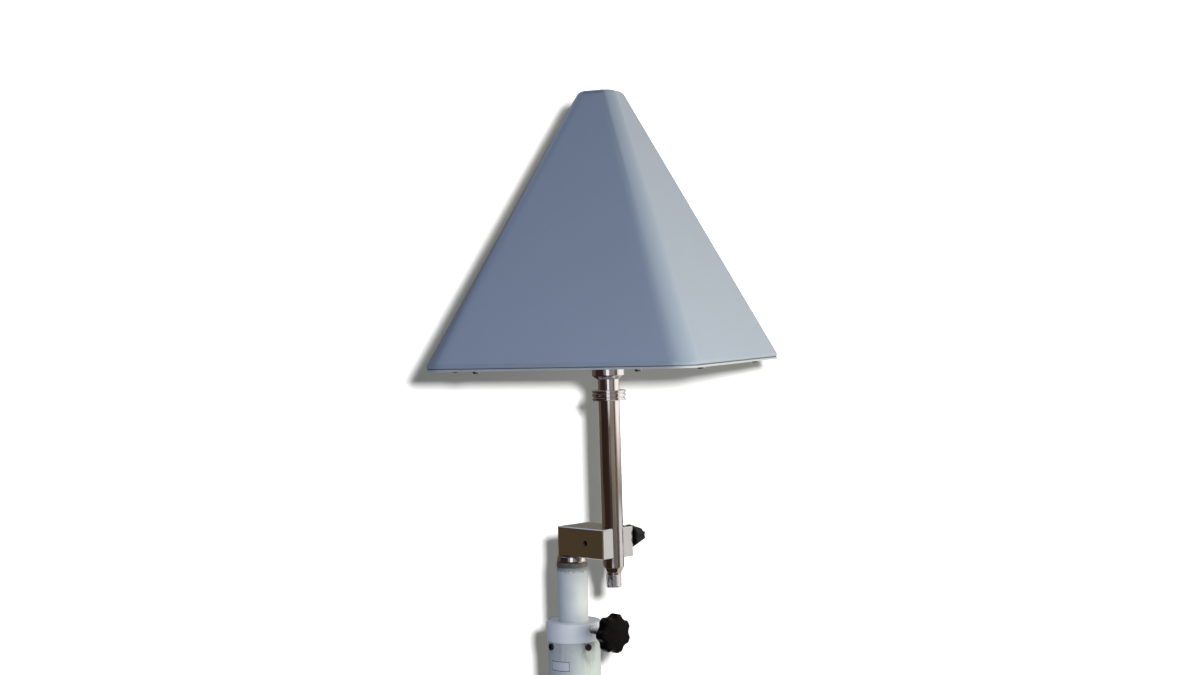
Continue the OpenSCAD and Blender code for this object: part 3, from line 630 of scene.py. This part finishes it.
finish(turned("collarTurned", section([
    (m["upperRadius"] + 0.05, m["lowerLength"] - m["sleeve"], 0), (m["lowerBore"], m["lowerLength"] - m["sleeve"], 0.5),
    (m["lowerBore"], m["lowerLength"], 0), (m["collarRadius"], m["lowerLength"], 0.8),
    (m["collarRadius"], collarTop, 2.0), (m["upperRadius"] + 0.05, collarTop, 0.5)]), mastSpot),
    "mast", "acetal", "mast_collar")
finish(turned("upperTubeWorn", section([
    (m["upperBore"], collarTop - m["upperIn"], 0.3), (m["upperRadius"], collarTop - m["upperIn"], 0.5),
    (m["upperRadius"], upperTop, 0.6), (m["upperBore"], upperTop, 0.2)]), mastSpot),
    "upper_mast", "white_tube", "upper_tube")
finish(turned("bushTurned", section([
    (m["pin"] + 0.05, bushTop - m["pinLength"], 0.2), (m["upperBore"], bushTop - m["pinLength"], 0.2),
    (m["upperBore"], upperTop, 0), (m["bushRim"], upperTop, 0.5), (m["bushRim"], bushTop, 1.1),
    (m["pin"] + 0.05, bushTop, 0.2)]), mastSpot), "upper_mast", "dull_metal", "tube_bush")
finish(turned("spigotPolished", section([
    (2.5, bushTop - m["pinLength"] + 6, 0), (4.25, bushTop - m["pinLength"] + 6, 0),
    (4.25, bushTop - m["pinLength"], 0.2), (m["pin"], bushTop - m["pinLength"], 1.0), (m["pin"], bushTop, 0),
    (m["disc"] - 0.6, bushTop, 0.5), (m["disc"], bushTop + 1.4, 0.8), (m["disc"] - 0.8, bushTop + 6.4, 1.2),
    (m["disc"] - 2.4, blockLow, 0.4), (2.5, blockLow, 0)]), mastSpot), "arm", "nickel", "mast_spigot")
print("mast made")


# blank label on the lower tube

labelSet = {"from": -61, "to": -8, "low": 109.5, "high": 122, "lift": 0.12, "line": 0.035}


def makeLabel(s):
    # curved patch round the mast's axis, its line value 1 on the thin frame near the border
    across = np.array([0, 0.03, 0.04, 0.06, 0.07, 0.5, 0.93, 0.94, 0.96, 0.97, 1])
    across = np.unique(np.concatenate([across, np.linspace(0.07, 0.93, 21)]))
    upward = np.array([0, 0.06, 0.08, 0.14, 0.16, 0.5, 0.84, 0.86, 0.92, 0.94, 1])
    a, z = np.meshgrid(across, upward)
    turn = np.radians(cameraSet["azimuth"] - 90 + s["from"] + (s["to"] - s["from"]) * a)
    height = (s["low"] + (s["high"] - s["low"]) * z) * mm
    points = around(mastSpot, (0, 0, 1), (m["lowerRadius"] + s["lift"]) * mm, height, turn)
    obj = gridObject("labelBlank", points, len(upward), len(across), wrap=False)
    line = ((np.abs(a - 0.05) < 0.012) | (np.abs(a - 0.95) < 0.012)) & (np.abs(z - 0.5) < 0.4)
    line |= ((np.abs(z - 0.11) < 0.032) | (np.abs(z - 0.89) < 0.032)) & (np.abs(a - 0.5) < 0.46)
    obj.data.attributes.new("line", "FLOAT", "POINT").data.foreach_set("value", line.astype(float).reshape(-1))
    mat, tree, shader = newMaterial("labelPaper")
    mark = addNode(tree, "ShaderNodeAttribute", attribute_name="line")
    tree.links.new(ramp(tree, mark.outputs["Fac"], [(0.3, linear(214, 218, 226)), (0.6, linear(120, 128, 150))]),
                   shader.inputs["Base Color"])
    shader.inputs["Roughness"].default_value = 0.5
    obj.data.materials.append(mat)
    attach(obj, "mast")
    return obj


makeLabel(labelSet)
print("label made")


# floor, world and lamps

stageSet = {
    "floorRadius": 9.0,
    "floorColour": linear(226, 227, 228),
    "ambient": linear(137, 144, 163),
    "ambientStrength": 1.0,
    "cardColour": linear(58, 42, 28),
}


def cameraDirection(side, height):
    # unit vector from the tube's axis, side degrees to the right of the camera, height above the level
    a = math.radians(cameraSet["azimuth"] + side)
    h = math.radians(height)
    return Vector((math.sin(a) * math.cos(h), -math.cos(a) * math.cos(h), math.sin(h)))


def seenDirectly(tree):
    # 1 for camera, glossy and transmission rays
    path = addNode(tree, "ShaderNodeLightPath")
    total = path.outputs["Is Camera Ray"]
    for other in ("Is Glossy Ray", "Is Transmission Ray"):
        add = addNode(tree, "ShaderNodeMath", operation="MAXIMUM")
        tree.links.new(total, add.inputs[0])
        tree.links.new(path.outputs[other], add.inputs[1])
        total = add.outputs[0]
    return total


def makeWorld():
    world = bpy.data.worlds.new("world")
    bpy.context.scene.world = world
    world.use_nodes = True
    tree = world.node_tree
    back = tree.nodes["Background"]
    back.inputs["Color"].default_value = (*stageSet["ambient"], 1)
    back.inputs["Strength"].default_value = stageSet["ambientStrength"]
    white = addNode(tree, "ShaderNodeBackground")
    white.inputs["Color"].default_value = (1, 1, 1, 1)
    mix = addNode(tree, "ShaderNodeMixShader")
    tree.links.new(seenDirectly(tree), mix.inputs[0])
    tree.links.new(back.outputs[0], mix.inputs[1])
    tree.links.new(white.outputs[0], mix.inputs[2])
    tree.links.new(mix.outputs[0], tree.nodes["World Output"].inputs[0])


def makeFloor():
    # flat disc of rings, radius growing from the middle
    rings = np.linspace(0.02, stageSet["floorRadius"], 40)
    turns = np.linspace(0, 2 * math.pi, 96, endpoint=False)
    r, a = np.meshgrid(rings, turns, indexing="ij")
    points = np.stack([r * np.cos(a), r * np.sin(a), 0 * r], -1).reshape(-1, 3)
    obj = gridObject("floor", points, 40, 96, wrap=True, caps=(True, False))
    mat, tree, shader = newMaterial("floor")
    tree.nodes.remove(shader)
    diffuse = addNode(tree, "ShaderNodeBsdfDiffuse")
    diffuse.inputs["Color"].default_value = (*stageSet["floorColour"], 1)
    white = addNode(tree, "ShaderNodeEmission")
    coords = addNode(tree, "ShaderNodeTexCoord")
    length = addNode(tree, "ShaderNodeVectorMath", operation="LENGTH")
    tree.links.new(coords.outputs["Object"], length.inputs[0])
    fade = addNode(tree, "ShaderNodeMapRange")
    fade.inputs["From Min"].default_value = 0.25
    fade.inputs["From Max"].default_value = 0.6
    fade.inputs["To Min"].default_value = 0.55
    fade.inputs["To Max"].default_value = 0.99
    tree.links.new(length.outputs["Value"], fade.inputs["Value"])
    gate = addNode(tree, "ShaderNodeMath", operation="MULTIPLY")
    tree.links.new(fade.outputs["Result"], gate.inputs[0])
    tree.links.new(seenDirectly(tree), gate.inputs[1])
    mix = addNode(tree, "ShaderNodeMixShader")
    tree.links.new(gate.outputs[0], mix.inputs[0])
    tree.links.new(diffuse.outputs[0], mix.inputs[1])
    tree.links.new(white.outputs[0], mix.inputs[2])
    tree.links.new(mix.outputs[0], tree.nodes["Material Output"].inputs[0])
    obj.data.materials.append(mat)


def makeLamp(name, side, height, distance, size, power, colour):
    data = bpy.data.lights.new(name, "AREA")
    data.shape = "RECTANGLE"
    data.size, data.size_y = size
    data.energy = power
    data.color = colour
    lamp = bpy.data.objects.new(name, data)
    bpy.context.scene.collection.objects.link(lamp)
    away = cameraDirection(side, height)
    middle = Vector((tubeAxis.x, tubeAxis.y, jointHeight))
    lamp.location = middle + away * distance
    lamp.rotation_mode = "QUATERNION"
    lamp.rotation_quaternion = away.to_track_quat("Z", "Y")
    return lamp


def makeCard(name, sideFrom, sideTo, radius, bottom, top, stops):
    # upright curved card that only reflections see, its colour changes with height: stops are (height, colour)
    turns = np.linspace(sideFrom, sideTo, 48)
    heights = np.linspace(bottom, top, 2)
    a, z = np.meshgrid(np.radians(turns + cameraSet["azimuth"]), heights, indexing="ij")
    points = np.stack([tubeAxis.x + radius * np.sin(a), tubeAxis.y - radius * np.cos(a), z], -1)
    obj = gridObject(name, points, 48, 2, wrap=False)
    glowOnly(obj, name, bottom, top, stops)


def glowOnly(obj, name, bottom, top, stops):
    mat, tree, shader = newMaterial(name)
    tree.nodes.remove(shader)
    glow = addNode(tree, "ShaderNodeEmission")
    coords = addNode(tree, "ShaderNodeTexCoord")
    split = addNode(tree, "ShaderNodeSeparateXYZ")
    tree.links.new(coords.outputs["Object"], split.inputs[0])
    share = addNode(tree, "ShaderNodeMapRange")
    share.inputs["From Min"].default_value = bottom
    share.inputs["From Max"].default_value = top
    tree.links.new(split.outputs["Z"], share.inputs["Value"])
    band = [((height - bottom) / (top - bottom), colour) for height, colour in stops]
    tree.links.new(ramp(tree, share.outputs["Result"], band), glow.inputs["Color"])
    tree.links.new(glow.outputs[0], tree.nodes["Material Output"].inputs[0])
    obj.data.materials.append(mat)
    obj.visible_camera = False
    obj.visible_diffuse = False
    obj.visible_shadow = False
    obj.visible_transmission = False


def makeGroundCard(name, sideFrom, sideTo, inner, outer, colour):
    # flat ring piece just above the floor, seen only in reflections
    turns = np.radians(np.linspace(sideFrom, sideTo, 48) + cameraSet["azimuth"])
    a, r = np.meshgrid(turns, np.linspace(inner, outer, 2), indexing="ij")
    points = np.stack([tubeAxis.x + r * np.sin(a), tubeAxis.y - r * np.cos(a), 0 * r + 1 * mm], -1)
    obj = gridObject(name, points, 48, 2, wrap=False)
    glowOnly(obj, name, -1, 1, [(-1, colour), (1, colour)])


def makeDome(name, sideFrom, sideTo, radius, middle, lowest, highest, stops):
    # part of a ball round a point on the tube's axis, seen only in reflections, lowest and highest in degrees
    turns = np.radians(np.linspace(sideFrom, sideTo, 48) + cameraSet["azimuth"])
    lifts = np.radians(np.linspace(lowest, highest, 24))
    a, h = np.meshgrid(turns, lifts, indexing="ij")
    points = np.stack([tubeAxis.x + radius * np.sin(a) * np.cos(h), tubeAxis.y - radius * np.cos(a) * np.cos(h),
                       middle + radius * np.sin(h)], -1)
    obj = gridObject(name, points, 48, 24, wrap=False)
    glowOnly(obj, name, middle - radius, middle + radius, stops)


backdropSet = {
    "behind": 420 * mm,         # behind the tube's axis
    "halfWidth": 1.8, "top": 2.4,
    "colour": (0.24, 0.24, 0.24),
    "lampRight": 94 * mm,       # of the camera, so the shadow falls to the left
    "lampAbove": 66 * mm,
    "lampSize": 60 * mm, "power": 270,
}


def makeBackdrop(s):
    # upright sheet that only the camera sees, and only from the front, with its own lamp beside the camera
    away = cameraDirection(0, 0)
    right = Vector((-away.y, away.x, 0))
    middle = Vector((tubeAxis.x, tubeAxis.y, 0)) - away * s["behind"]
    u, v = np.meshgrid(np.linspace(-1, 1, 9), np.linspace(0, 1, 9))
    points = (np.array(middle) + u[..., None] * np.array(right) * s["halfWidth"]
              + v[..., None] * np.array((0, 0, s["top"])))
    sheet = gridObject("backdrop", points, 9, 9, wrap=False)
    mat, tree, shader = newMaterial("backdrop")
    tree.nodes.remove(shader)
    matt = addNode(tree, "ShaderNodeBsdfDiffuse", Color=(*s["colour"], 1))
    clear = addNode(tree, "ShaderNodeBsdfTransparent")
    side = addNode(tree, "ShaderNodeNewGeometry")
    mix = addNode(tree, "ShaderNodeMixShader")
    tree.links.new(side.outputs["Backfacing"], mix.inputs[0])
    tree.links.new(matt.outputs[0], mix.inputs[1])
    tree.links.new(clear.outputs[0], mix.inputs[2])
    tree.links.new(mix.outputs[0], tree.nodes["Material Output"].inputs[0])
    sheet.data.materials.append(mat)
    for ray in ("visible_diffuse", "visible_glossy", "visible_shadow", "visible_transmission"):
        setattr(sheet, ray, False)
    lamp = makeLamp("shadowLamp", 0, 0, 1.0, (s["lampSize"], s["lampSize"]), s["power"], (1, 1, 1))
    spot = cameraSpot + right * s["lampRight"] + Vector((0, 0, s["lampAbove"]))
    lamp.location = spot
    lamp.rotation_quaternion = (spot - middle - Vector((0, 0, jointHeight))).to_track_quat("Z", "Y")
    lamp.visible_glossy = False
    only = bpy.data.collections.new("backdropOnly")
    only.objects.link(sheet)
    lamp.light_linking.receiver_collection = only


bpy.context.scene.view_settings.view_transform = "Standard"
makeWorld()
makeFloor()
makeBackdrop(backdropSet)
makeLamp("key", 62, 2, 1.6, (1.5, 1.1), 24, (1.0, 0.97, 0.72))
makeLamp("skyFill", -20, 55, 1.9, (1.2, 1.2), 2.5, (0.6, 0.78, 1.0))
lowFill = makeLamp("lowFill", 26, -20, 0.9, (0.4, 0.4), 1.8, (0.95, 0.95, 1.0))
lowFill.visible_glossy = False
darkBrown = linear(46, 33, 26)
beige = linear(186, 176, 168)
cardSet = [
    # name, from and to in degrees right of the camera, (height in metres, colour) upwards
    ("cardBackLeft", -180, -155, [(0.0, linear(116, 110, 102)), (0.7, linear(116, 110, 102))]),
    ("cardFarLeft", -155, -100, [(0.0, linear(80, 68, 56)), (0.7, linear(92, 82, 76))]),
    ("cardBlockSide", -100, -84, [(0.0, linear(80, 66, 48)), (0.17, linear(80, 66, 48)), (0.21, darkBrown),
                                  (0.7, darkBrown)]),
    ("cardLeft", -84, -34, [(0.0, darkBrown), (0.28, darkBrown), (0.4, linear(46, 34, 34))]),
    ("cardFrontLeft", -34, -15, [(0.0, linear(46, 36, 34)), (0.36, linear(50, 38, 38)), (0.39, linear(120, 118, 128))]),
    ("cardFront", -15, 6, [(0.0, linear(222, 220, 222)), (0.055, linear(222, 220, 222)), (0.09, linear(60, 50, 46)),
                           (0.2, linear(66, 54, 46)), (0.26, linear(108, 100, 98)), (0.3, linear(84, 76, 68)),
                           (0.335, linear(214, 210, 214)), (0.36, linear(250, 250, 255))]),
    ("cardMiddle", 6, 44, [(0.0, linear(110, 106, 104)), (0.1, linear(100, 96, 93)), (0.19, linear(112, 107, 96)),
                           (0.27, linear(130, 122, 114)), (0.31, linear(122, 114, 100)), (0.35, linear(136, 128, 130))]),
    ("cardGrey", 44, 52, [(0.0, linear(92, 82, 74)), (0.35, linear(98, 86, 80))]),
    ("cardLine", 52, 66, [(0.0, linear(64, 54, 48)), (0.28, linear(58, 46, 38)), (0.35, linear(66, 58, 58))]),
    ("cardStep", 66, 79, [(0.0, linear(104, 96, 90)), (0.22, linear(108, 98, 88)), (0.27, linear(136, 120, 110)),
                          (0.33, linear(222, 216, 214))]),
    ("cardSide", 79, 128, [(0.0, linear(176, 170, 168)), (0.06, linear(214, 212, 214)), (0.15, linear(214, 212, 214)), (0.19, linear(146, 140, 134)),
                           (0.225, linear(176, 168, 160)), (0.265, linear(226, 212, 204)),
                           (0.31, linear(255, 253, 252)), (0.36, linear(255, 252, 250))]),
    ("cardSideEdge", 128, 150, [(0.0, linear(120, 112, 106)), (0.19, linear(136, 133, 128)),
                                (0.27, linear(172, 162, 156)), (0.35, linear(226, 224, 224))]),
    ("cardBack", 150, 180, [(0.0, linear(96, 90, 84)), (0.7, linear(130, 124, 118))]),
]
for name, sideFrom, sideTo, stops in cardSet:
    makeCard(name, sideFrom, sideTo, 1.1, -0.3, 1.15, stops)
makeGroundCard("groundLeft", -180, 64, 0.002, 1.1, darkBrown)
makeGroundCard("groundRight", 64, 180, 0.002, 1.1, beige)
makeDome("domeLeft", -180, 12, 1.25, 0.35, 36, 89, [(1.0, linear(186, 198, 224)), (1.46, linear(192, 203, 228)),
                                                   (1.5, linear(70, 62, 58))])
print("stage ready")
